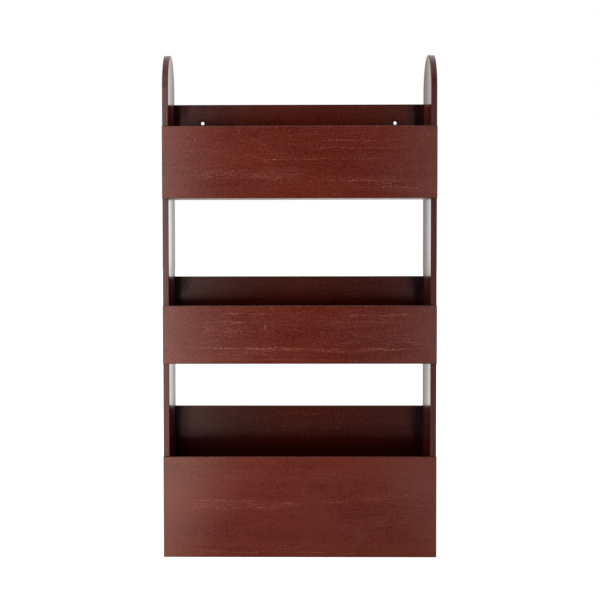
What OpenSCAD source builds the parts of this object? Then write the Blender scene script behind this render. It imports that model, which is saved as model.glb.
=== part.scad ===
// Three-tier wall rack for picture books, all boards pinned and glued.
// Seen from the front: x runs to the right, y to the wall, z up.
// The origin is on the ground, in the middle of the width and of the depth.

/* [Overall] */
// Width over the outer faces of the two side boards
overall_w = 425; // [340:1:520]
// Height of the side boards, from the ground to the crown of the arch
side_h = 786; // [720:1:900]
// Depth of the side boards, front edge to wall
side_d = 113; // [90:1:150]

/* [Boards] */
// Thickness of the side boards
side_t = 9.5; // [8:0.5:14]
// Thickness of the back boards
back_t = 9.5; // [8:0.5:14]
// Thickness of the floor boards
floor_t = 9.5; // [8:0.5:14]
// Thickness of the front boards
front_t = 6; // [5:0.5:10]
// Radius worked on the exposed arrises
ease_r = 1; // [0.5:0.1:2]

/* [Tiers] */
// Height of the middle tier's underside above the ground
middle_z = 302.5; // [270:0.5:320]
// Distance of the top tier's underside below the crown of the arch
top_drop = 227; // [200:0.5:250]
// Height of the bottom front board
bottom_front_h = 157.5; // [100:0.5:200]
// Height of the middle front board
middle_front_h = 90.5; // [70:0.5:120]
// Height of the top front board
top_front_h = 111.5; // [80:0.5:140]
// Height of the bottom back board
bottom_back_h = 222; // [160:0.5:260]
// Height of the middle back board
middle_back_h = 132; // [100:0.5:180]
// Height of the top back board
top_back_h = 154.5; // [120:0.5:160]

/* [Wall holes] */
// Distance between the two wall-screw holes
wall_hole_spacing = 313; // [200:1:320]
// Diameter of each wall-screw hole
wall_hole_d = 5.5; // [4:0.1:7]
// Diameter of the countersink on the front face
countersink_d = 10.5; // [8:0.5:14]
// Distance of the holes below the back board's top edge
wall_hole_drop = 30; // [20:1:60]

/* [Pins] */
// Diameter of a pin's shank
pin_d = 1.2; // [1:0.1:1.6]
// Length of a pin under its head
pin_l = 24; // [18:1:30]
// Diameter of a pin's head
pin_head_d = 2; // [1.8:0.1:2.6]
// Thickness of a pin's head
pin_head_t = 0.6; // [0.4:0.1:1]
// Depth that the heads are set below the face
pin_set = 1; // [0.6:0.1:1.6]
// Distance of the first pin from a board's end, where it enters a side or a back board
pin_margin = 16; // [12:1:24]
// Distance of the first pin from the end of a floor board
floor_margin = 30; // [20:1:60]
// Widest spacing between two pins in a row
pin_pitch = 120; // [60:1:160]

/* [Hidden] */

BOTTOM = 0;
MIDDLE = 1;
TOP = 2;
TIERS = [BOTTOM, MIDDLE, TOP];
LEFT = -1;
RIGHT = 1;

top_z = side_h - top_drop;
tier_z = [0, middle_z, top_z];
front_h = [bottom_front_h, middle_front_h, top_front_h];
back_h = [bottom_back_h, middle_back_h, top_back_h];

// Planes that the boards meet at, from the front to the wall
front_y = -(side_d + front_t) / 2;
side_y = front_y + front_t;
bin_y = side_y + side_d - back_t;
wall_y = side_y + side_d;
inner_w = overall_w - 2 * side_t;
floor_d = side_d - back_t;

// The side boards' arch is a half circle over their whole depth
arch_r = side_d / 2;
spring_z = side_h - arch_r;

// A driven pin and its filler keep this gap to the wood around them
pin_gap = 0.05;
tip_l = 2;
tip_d = 0.3;
// How far a cutter runs past the face that it opens
over = 1;
$fn = 48;

MAHOGANY = [0.38, 0.14, 0.11];
MAHOGANY_SHADE = [0.30, 0.11, 0.09];
MAHOGANY_EDGE = [0.44, 0.20, 0.17];
PUTTY = [0.62, 0.40, 0.34];
STEEL = [0.66, 0.66, 0.68];

// Even places from low to high, no further apart than the pin pitch
function row(low, high) =
    let (gaps = max(1, ceil((high - low) / pin_pitch)))
    [for (i = [0 : gaps]) low + i * (high - low) / gaps];

// Rectangle from the origin whose listed corners are eased: 0 is its low end, 1 its high end
module eased_rect(w, h, corners) {
    difference() {
        square([w, h]);
        for (c = corners)
            translate([c[0] * w, c[1] * h]) mirror([c[0], 0]) mirror([0, c[1]])
                difference() {
                    translate([-over, -over]) square(ease_r + over);
                    translate([ease_r, ease_r]) circle(ease_r);
                }
    }
}

// Places of the pins, each with its z axis along the drive and its origin on the face
module at_side_pins(side) {
    for (t = TIERS) {
        for (y = row(side_y + pin_margin, bin_y - pin_margin))
            at_side_pin(side, y, tier_z[t] + floor_t / 2) children();
        for (z = row(tier_z[t] + pin_margin, tier_z[t] + back_h[t] - pin_margin))
            at_side_pin(side, bin_y + back_t / 2, z) children();
    }
}

module at_side_pin(side, y, z) {
    translate([side * overall_w / 2, y, z]) rotate([0, -side * 90, 0]) children();
}

module at_front_pins(t) {
    for (side = [LEFT, RIGHT], z = row(tier_z[t] + pin_margin, tier_z[t] + front_h[t] - pin_margin))
        translate([side * (overall_w - side_t) / 2, front_y, z]) rotate([-90, 0, 0]) children();
    for (x = floor_row())
        translate([x, front_y, tier_z[t] + floor_t / 2]) rotate([-90, 0, 0]) children();
}

module at_back_pins(t) {
    for (x = floor_row())
        translate([x, wall_y, tier_z[t] + floor_t / 2]) rotate([90, 0, 0]) children();
}

function floor_row() = row(floor_margin - inner_w / 2, inner_w / 2 - floor_margin);

// Headed pin with a drawn point
module pin() {
    translate([0, 0, pin_set]) cylinder(h = pin_head_t, d = pin_head_d);
    translate([0, 0, pin_set]) cylinder(h = pin_l - tip_l, d = pin_d);
    translate([0, 0, pin_set + pin_l - tip_l]) cylinder(h = tip_l, d1 = pin_d, d2 = tip_d);
}

// Wood filler over a set head, flush with the face
module filler() {
    cylinder(h = pin_set, d = pin_head_d);
}

// What a pin takes out of the two boards that it joins
module pin_hole() {
    translate([0, 0, -over]) cylinder(h = over + pin_set + pin_head_t, d = pin_head_d + 2 * pin_gap);
    translate([0, 0, pin_set]) cylinder(h = pin_l + pin_gap, d = pin_d + 2 * pin_gap);
}

// Side board: a straight board with eased edges under a half-round top with an eased rim
module side_board(side) {
    color(MAHOGANY_EDGE) difference() {
        translate([side * (overall_w - side_t) / 2 - side_t / 2, side_y, 0]) {
            linear_extrude(height = spring_z)
                eased_rect(side_t, side_d, [[0, 0], [1, 0], [0, 1], [1, 1]]);
            translate([0, arch_r, spring_z]) rotate([90, 0, 90])
                rotate_extrude(angle = 180)
                    eased_rect(arch_r, side_t, [[1, 0], [1, 1]]);
        }
        at_side_pins(side) pin_hole();
        for (t = TIERS) at_front_pins(t) pin_hole();
    }
}

// Front board: its front face is eased all round, its top edge on both sides
module front_board(t) {
    color(MAHOGANY) difference() {
        translate([-overall_w / 2, front_y, tier_z[t]]) intersection() {
            rotate([90, 0, 90]) linear_extrude(height = overall_w)
                eased_rect(front_t, front_h[t], [[0, 0], [0, 1], [1, 1]]);
            linear_extrude(height = front_h[t])
                eased_rect(overall_w, front_t, [[0, 0], [1, 0]]);
        }
        at_front_pins(t) pin_hole();
    }
}

// Back board between the sides, down to the floor board's underside
module back_board(t) {
    color(MAHOGANY_SHADE) difference() {
        translate([-inner_w / 2, bin_y, tier_z[t]])
            rotate([90, 0, 90]) linear_extrude(height = inner_w)
                eased_rect(back_t, back_h[t], [[1, 0], [0, 1], [1, 1]]);
        at_back_pins(t) pin_hole();
        for (side = [LEFT, RIGHT]) at_side_pins(side) pin_hole();
        if (t == TOP) wall_holes();
    }
}

module wall_holes() {
    sink_depth = (countersink_d - wall_hole_d) / 2;
    for (side = [LEFT, RIGHT])
        translate([side * wall_hole_spacing / 2, bin_y, top_z + top_back_h - wall_hole_drop])
            rotate([-90, 0, 0]) {
                translate([0, 0, -over]) cylinder(h = back_t + 2 * over, d = wall_hole_d);
                cylinder(h = sink_depth, d1 = countersink_d, d2 = wall_hole_d);
            }
}

// Floor board between the sides, from the front board to the back board
module floor_board(t) {
    color(MAHOGANY_SHADE) difference() {
        translate([-inner_w / 2, side_y, tier_z[t]]) cube([inner_w, floor_d, floor_t]);
        at_front_pins(t) pin_hole();
        at_back_pins(t) pin_hole();
        for (side = [LEFT, RIGHT]) at_side_pins(side) pin_hole();
    }
}

module left_side() { side_board(LEFT); }
module right_side() { side_board(RIGHT); }
module bottom_back() { back_board(BOTTOM); }
module bottom_floor() { floor_board(BOTTOM); }
module bottom_front() { front_board(BOTTOM); }
module middle_back() { back_board(MIDDLE); }
module middle_floor() { floor_board(MIDDLE); }
module middle_front() { front_board(MIDDLE); }
module top_back() { back_board(TOP); }
module top_floor() { floor_board(TOP); }
module top_front() { front_board(TOP); }
module left_side_pins() { color(STEEL) at_side_pins(LEFT) pin(); }
module right_side_pins() { color(STEEL) at_side_pins(RIGHT) pin(); }
module bottom_back_pins() { color(STEEL) at_back_pins(BOTTOM) pin(); }
module middle_back_pins() { color(STEEL) at_back_pins(MIDDLE) pin(); }
module top_back_pins() { color(STEEL) at_back_pins(TOP) pin(); }
module bottom_front_pins() { color(STEEL) at_front_pins(BOTTOM) pin(); }
module middle_front_pins() { color(STEEL) at_front_pins(MIDDLE) pin(); }
module top_front_pins() { color(STEEL) at_front_pins(TOP) pin(); }
module left_side_filler() { color(PUTTY) at_side_pins(LEFT) filler(); }
module right_side_filler() { color(PUTTY) at_side_pins(RIGHT) filler(); }
module bottom_front_filler() { color(PUTTY) at_front_pins(BOTTOM) filler(); }
module middle_front_filler() { color(PUTTY) at_front_pins(MIDDLE) filler(); }
module top_front_filler() { color(PUTTY) at_front_pins(TOP) filler(); }

left_side();
right_side();
bottom_back();
bottom_floor();
bottom_front();
middle_back();
middle_floor();
middle_front();
top_back();
top_floor();
top_front();
left_side_pins();
right_side_pins();
bottom_back_pins();
middle_back_pins();
top_back_pins();
bottom_front_pins();
middle_front_pins();
top_front_pins();
left_side_filler();
right_side_filler();
bottom_front_filler();
middle_front_filler();
top_front_filler();
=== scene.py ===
from types import SimpleNamespace

import bpy
import numpy as np
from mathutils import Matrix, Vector


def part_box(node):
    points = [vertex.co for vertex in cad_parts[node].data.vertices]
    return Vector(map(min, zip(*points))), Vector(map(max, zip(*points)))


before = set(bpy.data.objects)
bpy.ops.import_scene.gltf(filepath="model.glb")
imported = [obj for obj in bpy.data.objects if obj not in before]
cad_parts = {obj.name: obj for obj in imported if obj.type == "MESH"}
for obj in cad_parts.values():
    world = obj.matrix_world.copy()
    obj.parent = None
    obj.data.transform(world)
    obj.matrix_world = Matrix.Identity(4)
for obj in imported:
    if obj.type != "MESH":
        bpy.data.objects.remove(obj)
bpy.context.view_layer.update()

# The side boards: two thin straight-grained boards with a half-round top, of ring-porous wood,
# stained mahogany and sprayed with a satin lacquer. Their grain runs upright. The boards
# between them are glued, and pinned through the sides' outer faces.
STAIN = (0.162, 0.0215, 0.0090)
STAIN_SHADE = (0.092, 0.0040, 0.0002)
# Near-black: thick stain on end grain, beside threads and on arrises, and the painted shade inside the
# bins
THICK_STAIN_AND_SHADE = (0.012, 0.0010, 0.0007)
OPEN_PORE = (0.300, 0.071, 0.044)
HAZE = (0.22, 0.10, 0.08)

# The axes along the grain, through the board and across the grain
GRAIN_ORDER = {
    "along x": ("X", "Y", "Z"),
    "along z": ("Z", "X", "Y"),
    "floor": ("X", "Z", "Y"),
}

# Waves a metre of each pattern: along the grain, through the board and across the grain
WAVES = {
    "long stray": (5.0, 8.0, 9.0),
    "short stray": (34.0, 40.0, 50.0),
    "loose pores": (9.0, 30.0, 60.0),
    "breaks": (26.0, 60.0, 160.0),
    "thread drift": (40.0, 80.0, 110.0),
    "stitches": (230.0, 300.0, 300.0),
    "single pores": (290.0, 700.0, 760.0),
    "cloud": (7.0, 14.0, 14.0),
    "figure": (6.0, 60.0, 90.0),
    "fibre": (40.0, 600.0, 500.0),
    "fleck": (240.0, 720.0, 740.0),
    "haze": (9.0, 20.0, 20.0),
    "rub": (80.0, 80.0, 80.0),
    "sheen": (14.0, 60.0, 40.0),
    "peel": (260.0, 260.0, 260.0),
}
FINE_DETAIL = 3.0
NOISE_MIDDLE = 0.5

# How a pattern becomes a share: the values between which it steps, and the share at each
STEPS = {
    "loose pores": (0.42, 0.72, 0.0, 1.0),
    "breaks": (0.34, 0.56, 0.25, 1.0),
    "stitches": (0.42, 0.62, 0.25, 1.0),
    "side threads": (0.17, 0.03, 0.0, 1.0),
    "beside a thread": (0.36, 0.50, 0.0, 1.0),
    "pore opens": (-0.05, 0.15, 0.0, 1.0),
    "single pores": (0.46, 0.20, 0.0, 0.42),
    "end grain": (0.55, 0.95, 0.0, 0.45),
    "arris from the edge": (0.15, 0.35, 0.0, 1.0),
    "arris from the face": (0.985, 0.93, 0.0, 1.0),
    "haze": (0.45, 0.72, 0.0, 0.05),
    "rub": (0.38, 0.62, 0.1, 1.0),
}


def add_node(tree, kind, inputs=None, **settings):
    """One shader node. An input that is a socket is linked, anything else is a value."""
    node = tree.nodes.new(kind)
    for name, value in settings.items():
        setattr(node, name, value)
    for key, value in (inputs or {}).items():
        socket = node.inputs[key]
        if isinstance(value, bpy.types.NodeSocket):
            tree.links.new(value, socket)
        else:
            socket.default_value = value
    return node


def reckon(tree, operation, *values, clamp=False):
    """Arithmetic on numbers or sockets, as a socket."""
    node = add_node(tree, "ShaderNodeMath", dict(enumerate(values)),
                    operation=operation, use_clamp=clamp)
    return node.outputs[0]


def times(tree, first, second, clamp=False):
    """The product of two numbers or sockets."""
    return reckon(tree, "MULTIPLY", first, second, clamp=clamp)


def plus(tree, first, second, clamp=False):
    """The sum of two numbers or sockets."""
    return reckon(tree, "ADD", first, second, clamp=clamp)


def larger(tree, first, second):
    """The larger of two numbers or sockets."""
    return reckon(tree, "MAXIMUM", first, second)


def soft_step(tree, value, low, high, at_low=0.0, at_high=1.0):
    """A soft step: the value's way from low to high becomes the way from at_low to at_high."""
    node = add_node(tree, "ShaderNodeMapRange", {0: value, 1: low, 2: high, 3: at_low, 4: at_high},
                    interpolation_type="SMOOTHSTEP")
    return node.outputs[0]


def bell(tree, value, centre, half_width):
    """One at the centre, falling away on both sides as the exponential of minus the square of
    the distance over the half width."""
    off = reckon(tree, "DIVIDE", reckon(tree, "SUBTRACT", value, centre), half_width)
    return reckon(tree, "EXPONENT", times(tree, times(tree, off, off), -1.0))


def noise(tree, place, waves, detail=2.0, roughness=0.5):
    """Noise from 0 to 1 with its own number of waves a metre along each axis of the place."""
    scaled = add_node(tree, "ShaderNodeVectorMath", {0: place, 1: waves}, operation="MULTIPLY")
    node = add_node(tree, "ShaderNodeTexNoise", {"Vector": scaled.outputs[0], "Scale": 1.0,
                                                 "Detail": detail, "Roughness": roughness})
    return node.outputs[0]


def waver(tree, place, waves, size):
    """Noise about zero that reaches about a third of the size either way, in metres."""
    return times(tree, reckon(tree, "SUBTRACT", noise(tree, place, waves), NOISE_MIDDLE), size)


def mix_colour(tree, factor, first, second):
    """Two colours or sockets mixed by a factor."""
    node = add_node(tree, "ShaderNodeMix", {0: factor}, data_type="RGBA")
    for socket, value in ((node.inputs[6], first), (node.inputs[7], second)):
        if isinstance(value, bpy.types.NodeSocket):
            tree.links.new(value, socket)
        else:
            socket.default_value = (*value, 1.0)
    return node.outputs[2]


# How wide the grain's stray is across the board, in metres
LONG_STRAY = 0.012
SHORT_STRAY = 0.0060


def lay_of_grain(tree, order, shift):
    """Where each point lies in the wood.

    The place on the board is turned so that its first axis follows the grain and its third
    crosses the face, and the board's own shift is added. The grain strays across the board, a
    few millimetres over its length and less in short waves. That stray added to the place is
    the bent place, and added to across it is the strayed one.
    """
    here = add_node(tree, "ShaderNodeTexCoord").outputs["Object"]
    split = add_node(tree, "ShaderNodeSeparateXYZ", {0: here})
    along, through, across = (split.outputs[axis] for axis in order)
    turned = add_node(tree, "ShaderNodeCombineXYZ", {0: along, 1: through, 2: across}).outputs[0]
    place = add_node(tree, "ShaderNodeVectorMath", {0: turned, 1: shift}, operation="ADD").outputs[0]
    stray = plus(tree, waver(tree, place, WAVES["long stray"], LONG_STRAY),
                 waver(tree, place, WAVES["short stray"], SHORT_STRAY))
    aside = add_node(tree, "ShaderNodeCombineXYZ", {2: stray}).outputs[0]
    bent = add_node(tree, "ShaderNodeVectorMath", {0: place, 1: aside}, operation="ADD").outputs[0]
    geometry = add_node(tree, "ShaderNodeNewGeometry")
    faces = add_node(tree, "ShaderNodeSeparateXYZ", {0: geometry.outputs["True Normal"]})
    return SimpleNamespace(order=order, split=split, along=along, across=across, place=place,
                           bent=bent, strayed=plus(tree, across, stray), faces=faces)


# The share of loose pores, and in metres, how softly a row of pores starts and ends and how
# wide its thread is
LOOSE_PORES = 0.30
ROW_START_FADE = 0.012
ROW_END_FADE = 0.02
THREAD_HALF_WIDTH = 0.0006


def pore_rows(tree, wood, low, high, rows):
    """How open the pores are at each point, and the threads at the middles of the rows.

    A row is a bell across the board around its middle, within its reach along the board. The
    rows are added to a few loose pores, and a noise breaks them along their length. A thread
    is a far narrower bell at its row's middle.
    """
    grain_axis = "XYZ".index(wood.order[0])
    cross_axis = "XYZ".index(wood.order[2])
    length = high[grain_axis] - low[grain_axis]
    width = high[cross_axis] - low[cross_axis]
    loose = noise(tree, wood.bent, WAVES["loose pores"])
    open_share = times(tree, soft_step(tree, loose, *STEPS["loose pores"]), LOOSE_PORES)
    threads = 0.0
    for up, first, last, thread_strength, row_strength, half_width in rows:
        begin = low[grain_axis] + first * length
        end = low[grain_axis] + last * length
        reach = times(tree,
                      soft_step(tree, wood.along, begin - ROW_START_FADE, begin + ROW_START_FADE),
                      soft_step(tree, wood.along, end - ROW_END_FADE, end + ROW_END_FADE, 1.0, 0.0))
        middle = low[cross_axis] + up * width
        row = times(tree, bell(tree, wood.strayed, middle, half_width), row_strength)
        open_share = plus(tree, open_share, times(tree, row, reach))
        if thread_strength:
            thread = bell(tree, wood.strayed, middle, THREAD_HALF_WIDTH)
            thread = times(tree, thread, thread_strength)
            threads = plus(tree, threads, times(tree, thread, reach))
    breaks = soft_step(tree, noise(tree, wood.bent, WAVES["breaks"]), *STEPS["breaks"])
    return times(tree, open_share, breaks, clamp=True), times(tree, threads, breaks)


def blot(tree, wood, along, across, half_long, half_wide):
    """A soft spot on the board: a bell along the grain times a bell across it."""
    return times(tree, bell(tree, wood.along, along, half_long),
                 bell(tree, wood.across, across, half_wide))


# The side threads: a gap in metres, a drift and a farthest distance in gaps, and a strength
THREAD_GAP = 0.0035
THREAD_DRIFT = 2.6
HALF_GAP = 0.5
SIDE_THREADS = 0.85
STITCH_HARDNESS = 0.6
PORE_DISORDER = 0.95


def open_pores(tree, wood, open_share, threads, marks):
    """How much of each point is open pore or nick, and how far it lies from a side thread.

    Side threads run side by side a thread gap apart, pushed about by a drift, where the pores
    are open. With the rows' own threads they are cut into stitches. Single pores are the cells
    of a Voronoi pattern: a dash where a cell's nearest point is close, in the cells whose
    chance is below the open share.
    """
    drift = times(tree, noise(tree, wood.bent, WAVES["thread drift"]), THREAD_DRIFT)
    count = plus(tree, reckon(tree, "DIVIDE", wood.strayed, THREAD_GAP), drift)
    off_thread = reckon(tree, "PINGPONG", count, HALF_GAP)
    side_threads = times(tree, soft_step(tree, off_thread, *STEPS["side threads"]), open_share)
    lines = larger(tree, threads, times(tree, side_threads, SIDE_THREADS))
    stitches = noise(tree, wood.bent, WAVES["stitches"], roughness=STITCH_HARDNESS)
    lines = times(tree, lines, soft_step(tree, stitches, *STEPS["stitches"]), clamp=True)
    cells = add_node(tree, "ShaderNodeVectorMath", {0: wood.bent, 1: WAVES["single pores"]},
                     operation="MULTIPLY")
    single = add_node(tree, "ShaderNodeTexVoronoi", {"Vector": cells.outputs[0], "Scale": 1.0,
                                                     "Randomness": PORE_DISORDER})
    chance = add_node(tree, "ShaderNodeSeparateXYZ", {0: single.outputs["Color"]}).outputs["X"]
    opened = soft_step(tree, reckon(tree, "SUBTRACT", open_share, chance), *STEPS["pore opens"])
    dash = soft_step(tree, single.outputs["Distance"], *STEPS["single pores"])
    pores = larger(tree, times(tree, dash, opened), lines)
    for along, across, half_long, half_wide, strength in marks:
        nick = blot(tree, wood, along, across, half_long, half_wide)
        pores = larger(tree, pores, times(tree, nick, strength))
    return pores, off_thread


# What each pattern adds to the stain's tone, to its dark places, to the lacquer's roughness
# and to its relief, whose full height is in metres
TONE = {"cloud": 0.18, "figure": 0.10, "fibre": 0.12, "fleck": 0.60}
FLECK_HARDNESS = 0.7
DARK = {"beside a thread": 0.35, "arris": 0.6}
LACQUER_ROUGHNESS = 0.20
SHEEN_RANGE = 0.05
DULL = {"pores": 0.15, "arris": 0.25, "thick stain and painted shade": 0.12}
RELIEF = {"peel": 0.12, "fleck": 0.22, "pores": 0.7}
RELIEF_HEIGHT = 0.0001
LACQUER_IOR = 1.5


def stained_board(name, grain, low, high, rows, shift, stain_and_shade_where=None, marks=(),
                  dry_where=None, calm=0.11, skin=0.5, light=0.0, rubs=()):
    """Mahogany-stained ring-porous wood under satin lacquer, for a board from low to high.

    Open pores gather in rows: each row is its share of the way across the board, its first and
    last share along it, the strength of the fine broken thread at its middle, and the strength
    and half width in metres of the short threads and single pores around that. A mark is a
    nick of the finish: its place along and across, its half lengths, all in metres, and its
    strength. A rub is a soft pale smear in the lacquer, given as a mark is. The lower calm is,
    the stronger is the fleck of the stain, skin is how rough the lacquer's skin is, and light
    how much paler than usual the board took the stain. Two functions may be given: one for the share
    of thick stain and painted shade, and dry_where for the roughness added.
    """
    material = bpy.data.materials.new(name)
    material.use_nodes = True
    tree = material.node_tree
    shader = tree.nodes["Principled BSDF"]
    wood = lay_of_grain(tree, GRAIN_ORDER[grain], shift)
    open_share, threads = pore_rows(tree, wood, low, high, rows)
    pores, off_thread = open_pores(tree, wood, open_share, threads, marks)

    # Stain: cloudy from the spray, flecked and streaked by the fibres
    cloud = noise(tree, wood.place, WAVES["cloud"], FINE_DETAIL)
    figure = noise(tree, wood.bent, WAVES["figure"])
    fibre = noise(tree, wood.bent, WAVES["fibre"])
    fleck = noise(tree, wood.bent, WAVES["fleck"], FINE_DETAIL, FLECK_HARDNESS)
    broad = plus(tree, times(tree, cloud, TONE["cloud"]), times(tree, figure, TONE["figure"]))
    narrow = plus(tree, times(tree, fibre, TONE["fibre"]), times(tree, fleck, TONE["fleck"]))
    tone = plus(tree, plus(tree, broad, narrow), light)
    depth = soft_step(tree, tone, NOISE_MIDDLE - calm, NOISE_MIDDLE + calm)
    stain = mix_colour(tree, depth, STAIN_SHADE, STAIN)

    # It is darker on end grain, beside the threads and on the eased arrises, and pale in a pore
    facing_end = reckon(tree, "ABSOLUTE", wood.faces.outputs[wood.order[0]])
    end_grain = soft_step(tree, facing_end, *STEPS["end grain"])
    facing_out = reckon(tree, "ABSOLUTE", wood.faces.outputs[wood.order[1]])
    arris = times(tree, soft_step(tree, facing_out, *STEPS["arris from the edge"]),
                  soft_step(tree, facing_out, *STEPS["arris from the face"]))
    beside = times(tree, soft_step(tree, off_thread, *STEPS["beside a thread"]),
                   times(tree, open_share, DARK["beside a thread"]))
    dark = larger(tree, larger(tree, end_grain, beside), times(tree, arris, DARK["arris"]))
    stain = mix_colour(tree, dark, stain, THICK_STAIN_AND_SHADE)
    colour = mix_colour(tree, pores, stain, OPEN_PORE)

    # Haze in the lacquer: faint and cloudy all over, and patchy where it was rubbed
    haze = soft_step(tree, noise(tree, wood.place, WAVES["haze"]), *STEPS["haze"])
    patchy = soft_step(tree, noise(tree, wood.place, WAVES["rub"]), *STEPS["rub"])
    for along, across, half_long, half_wide, strength in rubs:
        rubbed = blot(tree, wood, along, across, half_long, half_wide)
        haze = plus(tree, haze, times(tree, rubbed, times(tree, patchy, strength)))
    colour = mix_colour(tree, haze, colour, HAZE)
    # Where a function for it is given, thick stain and painted shade darken the colour further
    if stain_and_shade_where:
        stain_and_shade = stain_and_shade_where(tree, wood)
        colour = mix_colour(tree, stain_and_shade, colour, THICK_STAIN_AND_SHADE)
    tree.links.new(colour, shader.inputs["Base Color"])

    # Lacquer: satin, a little uneven, sunk into the pores and duller on the eased arrises
    sheen = times(tree, noise(tree, wood.place, WAVES["sheen"], FINE_DETAIL), SHEEN_RANGE)
    sheen = plus(tree, sheen, LACQUER_ROUGHNESS - SHEEN_RANGE / 2)
    dull = plus(tree, times(tree, pores, DULL["pores"]), times(tree, arris, DULL["arris"]))
    if stain_and_shade_where:
        dull = plus(tree, dull, times(tree, stain_and_shade, DULL["thick stain and painted shade"]))
    if dry_where:
        dull = plus(tree, dull, dry_where(tree, wood))
    tree.links.new(plus(tree, sheen, dull), shader.inputs["Roughness"])
    peel = noise(tree, wood.place, WAVES["peel"])
    waves = plus(tree, times(tree, peel, RELIEF["peel"]), times(tree, fleck, RELIEF["fleck"]))
    relief = reckon(tree, "SUBTRACT", waves, times(tree, pores, RELIEF["pores"]))
    bump = add_node(tree, "ShaderNodeBump", {"Strength": skin, "Distance": RELIEF_HEIGHT,
                                             "Height": relief})
    tree.links.new(bump.outputs[0], shader.inputs["Normal"])
    shader.inputs["IOR"].default_value = LACQUER_IOR
    return material


def dress(node, material):
    """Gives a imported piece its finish."""
    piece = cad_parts[node]
    piece.data.materials.clear()
    piece.data.materials.append(material)


# How far a side board's surface faces sideways tells its faces from its sawn edges, and how far
# it faces inwards tells its inner face. Heights and depths are in metres.
SAWN_EDGE = (0.75, 0.45)
INNER_FACE = (0.6, 0.9)
SAWN_STAIN = 0.40
# Painted shade on a side's inner face below the top bin, and in the bins
LOWER_SHADE = 0.60
UNDER_TOP_BIN = 0.002
BIN_SEAM = 0.001
BIN_FADE = (0.050, 0.002)
DRY_TO_BACK = (-0.060, 0.055, -0.09, 0.16)
SAWN_DRYNESS = 0.08


def stain_and_shade_on_side(inner, shade_in_bins):
    """How dark a side board is made: thick stain on its sawn edges, which drink more of it, and
    painted shade on its inner face below the top bin, most of all in the bins."""
    def share(tree, wood):
        facing, height = wood.faces.outputs["X"], wood.split.outputs["Z"]
        edge = soft_step(tree, reckon(tree, "ABSOLUTE", facing), *SAWN_EDGE, 0.0, SAWN_STAIN)
        inside = soft_step(tree, times(tree, facing, inner), *INNER_FACE)
        top_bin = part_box("top_floor")[0].z
        lower = soft_step(tree, height, top_bin, top_bin - UNDER_TOP_BIN, 0.0, LOWER_SHADE)
        edge = larger(tree, edge, times(tree, inside, lower))
        binned = times(tree, inside, shade_in_bins)
        for tier in ("bottom", "middle", "top"):
            under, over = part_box(tier + "_floor")[0].z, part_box(tier + "_back")[1].z
            in_bin = times(tree, soft_step(tree, height, under - BIN_SEAM, under + BIN_SEAM),
                           soft_step(tree, height, over - BIN_FADE[0], over - BIN_FADE[1], 1.0, 0.0))
            edge = larger(tree, edge, times(tree, binned, in_bin))
        return edge
    return share


def dry_inside(inner):
    """Roughness added on a side board: on its inner face, where less lacquer reaches the back,
    and on its sawn edges, which soak it up."""
    def added(tree, wood):
        facing = wood.faces.outputs["X"]
        inside = soft_step(tree, times(tree, facing, inner), *INNER_FACE)
        inside = times(tree, inside, soft_step(tree, wood.split.outputs["Y"], *DRY_TO_BACK))
        sawn = soft_step(tree, reckon(tree, "ABSOLUTE", facing), *SAWN_EDGE, 0.0, SAWN_DRYNESS)
        return plus(tree, inside, sawn)
    return added


# Each board's shift in the wood, the side that faces inwards, and its painted shade in the bins
SIDE_BOARDS = {
    "left_side": ((0.31, 0.0, 0.05), 1.0, 0.72),
    "right_side": ((1.47, 0.02, 0.21), -1.0, 0.38),
}
SIDE_ROWS = [
    (0.13, 0.0, 0.7, 0.4, 0.5, 0.0040),
    (0.30, 0.2, 1.0, 0.5, 0.5, 0.0030),
    (0.36, 0.0, 0.5, 0.3, 0.4, 0.0020),
    (0.58, 0.0, 1.0, 0.5, 0.5, 0.0040),
    (0.71, 0.4, 0.95, 0.4, 0.6, 0.0060),
    (0.90, 0.1, 0.8, 0.4, 0.5, 0.0030),
]
for node, (shift, inner, shade_in_bins) in SIDE_BOARDS.items():
    low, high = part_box(node)
    dress(node, stained_board(node + "_wood", "along z", low, high, SIDE_ROWS, shift,
                              stain_and_shade_on_side(inner, shade_in_bins), dry_where=dry_inside(inner)))

# The floor boards: plain boards between the sides, their grain runs along the rack. Each is
# glued and pinned through the sides, and the back and front boards are pinned to it.
FLOOR_SHIFTS = {
    "bottom_floor": (0.2, 0.0, 0.4),
    "middle_floor": (0.9, 0.1, 0.7),
    "top_floor": (1.6, 0.2, 0.1),
}
FLOOR_ROWS = [
    (0.12, 0.1, 0.6, 0.4, 0.5, 0.0040),
    (0.34, 0.0, 1.0, 0.5, 0.5, 0.0030),
    (0.63, 0.3, 1.0, 0.4, 0.6, 0.0060),
    (0.86, 0.0, 0.7, 0.5, 0.5, 0.0030),
]
UNDERSIDE = (-0.6, -0.9)
UNDERSIDE_DRYNESS = 0.25


def dry_underneath(tree, wood):
    """Roughness added on a floor board's underside, which gets only the edge of the spray."""
    return soft_step(tree, wood.faces.outputs["Z"], *UNDERSIDE, 0.0, UNDERSIDE_DRYNESS)


for node, shift in FLOOR_SHIFTS.items():
    low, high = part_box(node)
    dress(node, stained_board(node + "_wood", "floor", low, high, FLOOR_ROWS, shift,
                              dry_where=dry_underneath))

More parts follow.
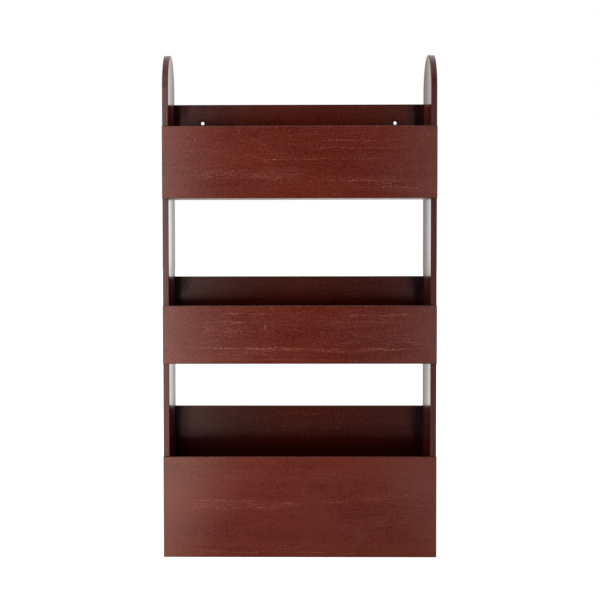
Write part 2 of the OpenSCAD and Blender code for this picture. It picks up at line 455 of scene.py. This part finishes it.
# The back boards: set between the sides and pinned through them, grain along the rack. Their
# bin faces are darker all over, with painted shade in the corners and low down, and low down
# the lacquer lies wet and glossy.
BACK_SHIFTS = {"bottom": (3.1, 0.0, 0.3), "middle": (4.4, 0.1, 0.6), "top": (5.2, 0.2, 0.8)}
BACK_ROWS = [
    (0.10, 0.0, 0.8, 0.3, 0.2, 0.0040),
    (0.31, 0.2, 1.0, 0.3, 0.2, 0.0050),
    (0.55, 0.0, 0.6, 0.3, 0.2, 0.0030),
    (0.78, 0.3, 0.9, 0.2, 0.1, 0.0040),
    (0.93, 0.5, 1.0, 0.2, 0.1, 0.0030),
]
# Each tier's darkening all over its bin face, and the reach and strength of the painted shade in the
# corners and below the front board's top edge
BIN_DARKENING = {"bottom": 0.41, "middle": 0.46, "top": 0.34}
BELOW_REACH = {"bottom": 0.050, "middle": 0.024, "top": 0.024}
BIN_FACE = (-0.5, -0.2, 1.0, 0.0)
LEFT_CORNER = (0.003, 0.013)
RIGHT_CORNER = (0.034, 0.009)
BELOW_START = 0.012
BELOW_SHADE = 0.95
CORNER_SHADE = 0.97
WET_REACH = 0.032
WET_GLOSS = -0.17
BACK_GLOSS = 0.25
BACK_SKIN = 1.5
BACK_CALM = 0.06


def shade_on_bin_face(low, high, front_top, below_reach, all_over):
    """How dark a back board's bin face is made: somewhat all over, and with painted shade towards
    its ends and downwards, from a little above the front board's top edge."""
    def share(tree, wood):
        sideways, height = wood.split.outputs["X"], wood.split.outputs["Z"]
        bin_side = soft_step(tree, wood.faces.outputs["Y"], *BIN_FACE)
        near_left = soft_step(tree, sideways, low.x + LEFT_CORNER[0], low.x + LEFT_CORNER[1], 1.0, 0.0)
        near_right = soft_step(tree, sideways, high.x - RIGHT_CORNER[0], high.x - RIGHT_CORNER[1])
        below = soft_step(tree, height, front_top - BELOW_START, front_top + below_reach, 1.0, 0.0)
        dark = larger(tree, larger(tree, near_left, near_right), times(tree, below, BELOW_SHADE))
        stain_and_shade = plus(tree, all_over, times(tree, dark, CORNER_SHADE - all_over))
        return times(tree, bin_side, stain_and_shade)
    return share


def wet_low_down(front_top):
    """Roughness taken off a back board low in its bin, where the lacquer runs and lies wet."""
    def added(tree, wood):
        return soft_step(tree, wood.split.outputs["Z"], front_top, front_top + WET_REACH, WET_GLOSS, 0.0)
    return added


for tier, shift in BACK_SHIFTS.items():
    low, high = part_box(tier + "_back")
    front_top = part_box(tier + "_front")[1].z
    back_wood = stained_board(tier + "_back_wood", "along x", low, high, BACK_ROWS, shift,
                              shade_on_bin_face(low, high, front_top, BELOW_REACH[tier], BIN_DARKENING[tier]),
                              calm=BACK_CALM, skin=BACK_SKIN, dry_where=wet_low_down(front_top))
    back_wood.node_tree.nodes["Principled BSDF"].inputs["Specular IOR Level"].default_value = BACK_GLOSS
    dress(tier + "_back", back_wood)

# The front boards: laid over the sides' front edges, glued and pinned. Each one has its own
# stronger rows of open pores, nicks in the finish and faint rub marks in the lacquer, as
# stained_board takes them: shares of the board for a row, metres for a nick or a rub.
FRONT_SHIFTS = {
    "bottom_front": (7.0, 0.0, 0.2),
    "middle_front": (8.3, 0.1, 0.5),
    "top_front": (9.1, 0.2, 0.9),
}
FRONT_ROWS = {
    "bottom_front": [
        (0.562, 0.10, 0.36, 0.60, 1.0, 0.0050),
        (0.537, 0.36, 0.50, 0.60, 0.8, 0.0040),
        (0.502, 0.10, 0.50, 0.60, 1.0, 0.0060),
        (0.542, 0.57, 0.66, 0.60, 0.8, 0.0040),
        (0.572, 0.63, 0.79, 0.60, 1.0, 0.0040),
        (0.567, 0.78, 0.91, 0.50, 0.9, 0.0070),
        (0.367, 0.76, 0.94, 0.0, 0.5, 0.0120),
        (0.820, 0.15, 0.36, 0.0, 0.6, 0.0090),
        (0.820, 0.53, 0.76, 0.20, 0.4, 0.0110),
        (0.100, 0.04, 0.90, 0.0, 0.4, 0.0060),
        (0.050, 0.12, 0.46, 0.85, 0.8, 0.0025),
        (0.034, 0.44, 0.86, 0.85, 0.8, 0.0025),
    ],
    "middle_front": [
        (0.2575, 0.10, 0.88, 1.50, 0.5, 0.0020),
        (0.223, 0.30, 0.80, 0.85, 0.3, 0.0020),
        (0.146, 0.19, 0.50, 0.50, 0.6, 0.0060),
        (0.051, 0.14, 0.79, 0.45, 0.3, 0.0020),
        (0.869, 0.22, 0.39, 1.00, 0.5, 0.0030),
        (0.843, 0.68, 0.90, 1.40, 0.4, 0.0030),
        (0.723, 0.14, 0.35, 0.62, 0.6, 0.0030),
        (0.723, 0.61, 0.86, 0.65, 0.2, 0.0020),
        (0.560, 0.15, 0.30, 0.0, 0.7, 0.0090),
        (0.400, 0.64, 0.94, 0.0, 0.6, 0.0110),
        (0.450, 0.10, 0.40, 0.0, 0.35, 0.0250),
        (0.550, 0.60, 0.95, 0.0, 0.18, 0.0250),
    ],
    "top_front": [
        (0.543, 0.37, 0.57, 0.90, 0.3, 0.0020),
        (0.543, 0.57, 0.86, 0.42, 0.2, 0.0020),
        (0.805, 0.57, 0.86, 0.65, 0.3, 0.0020),
        (0.695, 0.55, 0.86, 0.65, 0.4, 0.0030),
        (0.908, 0.66, 0.74, 0.30, 0.0, 0.0020),
        (0.332, 0.09, 0.50, 0.15, 0.7, 0.0070),
        (0.277, 0.16, 0.45, 0.25, 0.3, 0.0030),
        (0.243, 0.55, 0.87, 0.55, 0.9, 0.0060),
        (0.160, 0.78, 0.96, 0.65, 0.8, 0.0060),
        (0.500, 0.60, 0.95, 0.0, 0.12, 0.0300),
    ],
}
FRONT_NICKS = {
    "bottom_front": [],
    "middle_front": [
        (-0.0535, 0.3595, 0.0006, 0.0050, 1.0),
        (0.1028, 0.3911, 0.0012, 0.0006, 0.9),
    ],
    "top_front": [
        (0.1187, 0.6695, 0.0012, 0.0006, 0.9),
        (-0.0940, 0.6640, 0.0010, 0.0010, 0.7),
        (-0.1620, 0.6490, 0.0012, 0.0012, 0.6),
    ],
}
FRONT_RUBS = {
    "bottom_front": [
        (0.0745, 0.1130, 0.0070, 0.0070, 0.11),
        (0.0045, 0.1030, 0.0025, 0.0110, 0.12),
        (0.0430, 0.0660, 0.0200, 0.0140, 0.08),
        (0.0660, 0.0430, 0.0130, 0.0110, 0.07),
        (0.0940, 0.0380, 0.0110, 0.0150, 0.07),
        (-0.0850, 0.1260, 0.0160, 0.0040, 0.09),
    ],
    "middle_front": [],
    "top_front": [
        (-0.0700, 0.6480, 0.0110, 0.0050, 0.08),
        (0.0980, 0.6240, 0.0080, 0.0060, 0.08),
    ],
}
FRONT_CALM = {"bottom_front": 0.085, "middle_front": 0.08, "top_front": 0.12}
FRONT_LIGHT = {"bottom_front": 0.040, "middle_front": 0.0, "top_front": 0.008}
FRONT_SKIN = 0.75
for node, shift in FRONT_SHIFTS.items():
    low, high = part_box(node)
    dress(node, stained_board(node + "_wood", "along x", low, high, FRONT_ROWS[node], shift,
                              marks=FRONT_NICKS[node], calm=FRONT_CALM[node], skin=FRONT_SKIN,
                              light=FRONT_LIGHT[node], rubs=FRONT_RUBS[node]))

# The pins: bright drawn wire with a flat head, driven through one board into the next and set
# below the face. In front and at the sides the fillings hide them, so they show at the back.
PIN_BRIGHT = (0.56, 0.55, 0.54)
PIN_DULL = (0.30, 0.29, 0.28)
PIN_WAVES = (900.0, 900.0, 900.0)
PIN_ROUGHNESS = (0.3, 0.7, 0.28, 0.48)
pin_steel = bpy.data.materials.new("pin_steel")
pin_steel.use_nodes = True
steel_tree = pin_steel.node_tree
steel = steel_tree.nodes["Principled BSDF"]
steel_place = add_node(steel_tree, "ShaderNodeTexCoord").outputs["Object"]
drawn = noise(steel_tree, steel_place, PIN_WAVES, FINE_DETAIL)
steel_colour = mix_colour(steel_tree, drawn, PIN_DULL, PIN_BRIGHT)
steel_tree.links.new(steel_colour, steel.inputs["Base Color"])
steel_tree.links.new(soft_step(steel_tree, drawn, *PIN_ROUGHNESS), steel.inputs["Roughness"])
steel.inputs["Metallic"].default_value = 1.0
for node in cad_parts:
    if node.endswith("_pins"):
        dress(node, pin_steel)

# The fillings: stained wood filler over the set heads, sanded flush and lacquered over.
# The lowest on the left of the top front board was sanded through to the pale filler.
BARE_FILLER = (0.62, 0.33, 0.25)
FILLER_WAVES = (1500.0, 1500.0, 1500.0)
FILLING_ROUGHNESS = 0.22
FILLING_RADIUS = 0.001
BARE_EDGE = (0.004, 0.003)
filler = bpy.data.materials.new("filler")
filler.use_nodes = True
filler_tree = filler.node_tree
putty = filler_tree.nodes["Principled BSDF"]
filler_place = add_node(filler_tree, "ShaderNodeTexCoord").outputs["Object"]
grit = noise(filler_tree, filler_place, FILLER_WAVES, FINE_DETAIL)
stained_putty = mix_colour(filler_tree, grit, STAIN_SHADE, STAIN)
lowest_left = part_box("top_front_filler")[0]
sanded_through = (lowest_left.x + FILLING_RADIUS, lowest_left.y, lowest_left.z + FILLING_RADIUS)
from_bare = add_node(filler_tree, "ShaderNodeVectorMath", {0: filler_place, 1: sanded_through},
                     operation="DISTANCE")
bare = soft_step(filler_tree, from_bare.outputs["Value"], *BARE_EDGE)
putty_colour = mix_colour(filler_tree, bare, stained_putty, BARE_FILLER)
filler_tree.links.new(putty_colour, putty.inputs["Base Color"])
putty.inputs["Roughness"].default_value = FILLING_ROUGHNESS
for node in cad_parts:
    if node.endswith("_filler"):
        dress(node, filler)

# The ground: a pale sheet far wider than any view of it, white to the eye, which carries the
# rack's shadow. Its mesh is one many-sided face, whose corners lie at the radius times the
# cosine and the sine of their turn.
GROUND_RADIUS = 14.0
GROUND_EDGES = 96
GROUND_COLOUR = (0.45, 0.45, 0.45)
BLACK = (0.0, 0.0, 0.0)
WHITE_LIGHT = (1.0, 1.0, 1.0)
WARM_LIGHT = (1.0, 0.98, 0.86)
turn = np.linspace(0.0, 2.0 * np.pi, GROUND_EDGES, endpoint=False)
ring = np.stack([GROUND_RADIUS * np.cos(turn), GROUND_RADIUS * np.sin(turn), np.zeros_like(turn)], axis=1)
ground_mesh = bpy.data.meshes.new("ground")
ground_mesh.from_pydata(ring.tolist(), [], [list(range(len(ring)))])
ground = bpy.data.objects.new("ground", ground_mesh)
bpy.context.scene.collection.objects.link(ground)

# The ground's light is laid out in metres from the rack's middle. Two numbers are the places
# between which a light comes up, and two more are how strong it is at each.

# The eye sees white, a little greyer close round the rack
EYE_LIGHT = (0.30, 1.10, 0.86, 1.0)

# Behind the rack the lacquer mirrors the ground white, brighter on the right and near the rack
BEHIND_STARTS = (0.0, 0.15)
BEHIND_SIDEWAYS = (-0.30, 0.30, 0.92, 1.20)
BEHIND_FAR_OFF = (3.0, 7.0, 1.30, 1.0)

# In front it mirrors a bright warm band on the left and a weak one on the right, both stronger
# near the rack and in a patch further out, with a dim gap between them
AHEAD_STARTS = (0.0, -0.06)
NEAR_RACK = (-1.45, -0.85)
PATCH_MIDDLE = -1.40
PATCH_HALF_DEPTH = 0.25
LEFT_LIGHT = {"far": 0.65, "near": 1.85, "patch": 2.2}
RIGHT_LIGHT = {"far": 0.30, "near": 0.20, "patch": 0.35}
GAP_LIGHT = 0.21
LEFT_BAND_START = -0.20
LEFT_BAND_NEARER = 0.09
LEFT_BAND_FULL = -0.29
LEFT_OUTER_EDGE = (-0.66, -0.36, 0.12, 1.0)
LEFT_EDGE_ENDS = (-1.5, -2.2)
RIGHT_BAND = (0.16, 0.26)
WARM_SIDE = (-0.05, -0.20)


def light_ahead(tree, near_rack, patch, light):
    """A band's light: what it has far off, and what is added near the rack and in the patch."""
    band = reckon(tree, "MULTIPLY_ADD", near_rack, light["near"], light["far"])
    return reckon(tree, "MULTIPLY_ADD", patch, light["patch"], band)


ground_paint = bpy.data.materials.new("ground_paint")
ground_paint.use_nodes = True
ground_tree = ground_paint.node_tree
paint = ground_tree.nodes["Principled BSDF"]
paint.inputs["Roughness"].default_value = 1.0
paint.inputs["Specular IOR Level"].default_value = 0.0
spot = add_node(ground_tree, "ShaderNodeTexCoord").outputs["Object"]
away = add_node(ground_tree, "ShaderNodeVectorMath", {0: spot}, operation="LENGTH").outputs["Value"]
spot_axes = add_node(ground_tree, "ShaderNodeSeparateXYZ", {0: spot})
sideways, inwards = spot_axes.outputs["X"], spot_axes.outputs["Y"]
behind = times(ground_tree, soft_step(ground_tree, inwards, *BEHIND_STARTS),
               soft_step(ground_tree, sideways, *BEHIND_SIDEWAYS))
behind = times(ground_tree, behind, soft_step(ground_tree, inwards, *BEHIND_FAR_OFF))
near_rack = soft_step(ground_tree, inwards, *NEAR_RACK)
patch = bell(ground_tree, inwards, PATCH_MIDDLE, PATCH_HALF_DEPTH)
left_light = light_ahead(ground_tree, near_rack, patch, LEFT_LIGHT)
right_light = light_ahead(ground_tree, near_rack, patch, RIGHT_LIGHT)
gap_light = times(ground_tree, near_rack, GAP_LIGHT)
band_start = reckon(ground_tree, "MULTIPLY_ADD", near_rack, LEFT_BAND_NEARER, LEFT_BAND_START)
left_band = soft_step(ground_tree, sideways, band_start, LEFT_BAND_FULL, gap_light, left_light)
left_edge = larger(ground_tree, soft_step(ground_tree, sideways, *LEFT_OUTER_EDGE),
                   soft_step(ground_tree, inwards, *LEFT_EDGE_ENDS))
left_band = times(ground_tree, left_band, left_edge)
right_band = soft_step(ground_tree, sideways, *RIGHT_BAND, 0.0, right_light)
ahead = times(ground_tree, plus(ground_tree, left_band, right_band),
              soft_step(ground_tree, inwards, *AHEAD_STARTS))
ground_rays = add_node(ground_tree, "ShaderNodeLightPath").outputs
mirrored = plus(ground_tree, ground_rays["Is Glossy Ray"], ground_rays["Is Transmission Ray"])
ground_colour = mix_colour(ground_tree, mirrored, GROUND_COLOUR, BLACK)
ground_tree.links.new(ground_colour, paint.inputs["Base Color"])
warm_part = times(ground_tree, mirrored, soft_step(ground_tree, sideways, *WARM_SIDE))
glow = mix_colour(ground_tree, warm_part, WHITE_LIGHT, WARM_LIGHT)
ground_tree.links.new(glow, paint.inputs["Emission Color"])
seen = times(ground_tree, ground_rays["Is Camera Ray"], soft_step(ground_tree, away, *EYE_LIGHT))
shown = plus(ground_tree, seen, times(ground_tree, mirrored, plus(ground_tree, behind, ahead)))
ground_tree.links.new(shown, paint.inputs["Emission Strength"])
ground_mesh.materials.append(ground_paint)

# The studio: white all round to the eye, with a soft light from the room, stronger behind. The
# lacquer mirrors a white sweep behind the rack, brighter on the right, at its foot and high up,
# and a light overhead, in a room that is dark in front.
ROOM_LIGHT = (0.0, 0.30, 0.52, 1.0)
SWEEP_STARTS = (-0.10, 0.20)
SWEEP_SIDEWAYS = (-0.22, -0.04, 0.72, 1.30)
SWEEP_FOOT = (0.03, 0.08, 1.36, 0.71)
SWEEP_RISE = (0.14, 0.30, 1.0, 1.50)
OVERHEAD_LIGHT = (0.55, 0.95, 0.0, 0.8)
studio = bpy.data.worlds.new("studio")
bpy.context.scene.world = studio
studio.use_nodes = True
sky = studio.node_tree
background = sky.nodes["Background"]
background.inputs["Color"].default_value = (*WHITE_LIGHT, 1.0)
direction = add_node(sky, "ShaderNodeTexCoord").outputs["Generated"]
compass = add_node(sky, "ShaderNodeSeparateXYZ", {0: direction}).outputs
sweep = times(sky, soft_step(sky, compass["Y"], *SWEEP_STARTS),
              soft_step(sky, compass["X"], *SWEEP_SIDEWAYS))
sweep = times(sky, sweep, soft_step(sky, compass["Z"], *SWEEP_FOOT))
sweep = times(sky, sweep, soft_step(sky, compass["Z"], *SWEEP_RISE))
sweep = larger(sky, sweep, soft_step(sky, compass["Z"], *OVERHEAD_LIGHT))
room = soft_step(sky, compass["Y"], *ROOM_LIGHT)
sky_rays = add_node(sky, "ShaderNodeLightPath").outputs
mirrored = plus(sky, sky_rays["Is Glossy Ray"], sky_rays["Is Transmission Ray"], clamp=True)
camera_ray = sky_rays["Is Camera Ray"]
plain = reckon(sky, "SUBTRACT", 1.0, plus(sky, camera_ray, mirrored), clamp=True)
lit = plus(sky, times(sky, mirrored, sweep), times(sky, plain, room))
sky.links.new(plus(sky, camera_ray, lit), background.inputs["Strength"])

# The lamps: soft upright panels in front of the rack. A key panel a little left of it, two
# beside it that the lacquer doesn't mirror, one high up, and two narrow strips beside the
# camera, which show in the lacquer at the boards' ends.

# Each panel's two upright edges seen from above, its lower and upper edge, and its watts
PANELS = {
    "key_panel": ((-0.40, -1.10), (-0.50, -1.07), 0.06, 0.98, 2.85),
    "low_side_panel": ((-0.70, -0.50), (-0.80, -0.36), 0.02, 0.30, 2.50),
    "high_side_panel": ((-0.68, -0.55), (-0.80, -0.36), 0.90, 1.36, 2.15),
    "high_panel": ((-0.30, -1.22), (-0.85, -1.00), 1.35, 1.85, 2.15),
    "left_strip": ((-0.33, -1.50), (-0.38, -1.49), 0.06, 2.00, 1.25),
    "right_strip": ((0.42, -1.70), (0.50, -1.68), 0.06, 1.36, 0.96),
}
WARM_PANELS = ("left_strip",)
UNMIRRORED_PANELS = ("low_side_panel", "high_side_panel")
for name, (near, far, lower_edge, upper_edge, watts) in PANELS.items():
    middle = (Vector(near) + Vector(far)) / 2
    panel_data = bpy.data.lights.new(name, "AREA")
    panel_data.shape = "RECTANGLE"
    panel_data.size = (Vector(far) - Vector(near)).length
    panel_data.size_y = upper_edge - lower_edge
    panel_data.energy = watts
    panel_data.color = WARM_LIGHT if name in WARM_PANELS else WHITE_LIGHT
    panel = bpy.data.objects.new(name, panel_data)
    panel.location = (middle.x, middle.y, (lower_edge + upper_edge) / 2)
    across_panel = (Vector(far) - Vector(near)).normalized()
    outwards = Vector((across_panel.y, -across_panel.x, 0.0))
    if outwards.y > 0.0:
        outwards = -outwards
    panel.rotation_euler = outwards.to_track_quat("Z", "Y").to_euler()
    panel.visible_glossy = name not in UNMIRRORED_PANELS
    bpy.context.scene.collection.objects.link(panel)

# The camera: a little above the middle of the rack and a little left of it, two metres away,
# with a long lens that looks slightly down. The lens is shifted as the picture is framed. Its
# place is in metres and its turns in radians.
PHOTO_SIDE = 600.0
FOCAL_PIXELS = 1266.2
SHIFT_PIXELS = (29.4, -23.23)
SENSOR_WIDTH = 36.0
CAMERA_PLACE = (-0.0208, -2.0166, 0.5127)
LOOKS_DOWN = 0.0382
LEANS_OVER = 0.00173
TURNS_LEFT = 0.01226
camera_data = bpy.data.cameras.new("camera")
camera_data.sensor_width = SENSOR_WIDTH
camera_data.lens = FOCAL_PIXELS / PHOTO_SIDE * SENSOR_WIDTH
camera_data.shift_x = SHIFT_PIXELS[0] / PHOTO_SIDE
camera_data.shift_y = SHIFT_PIXELS[1] / PHOTO_SIDE
camera = bpy.data.objects.new("camera", camera_data)
camera.location = CAMERA_PLACE
camera.rotation_euler = (np.pi / 2 - LOOKS_DOWN, LEANS_OVER, TURNS_LEFT)
bpy.context.scene.collection.objects.link(camera)
bpy.context.scene.camera = camera
bpy.context.scene.view_settings.view_transform = "Standard"
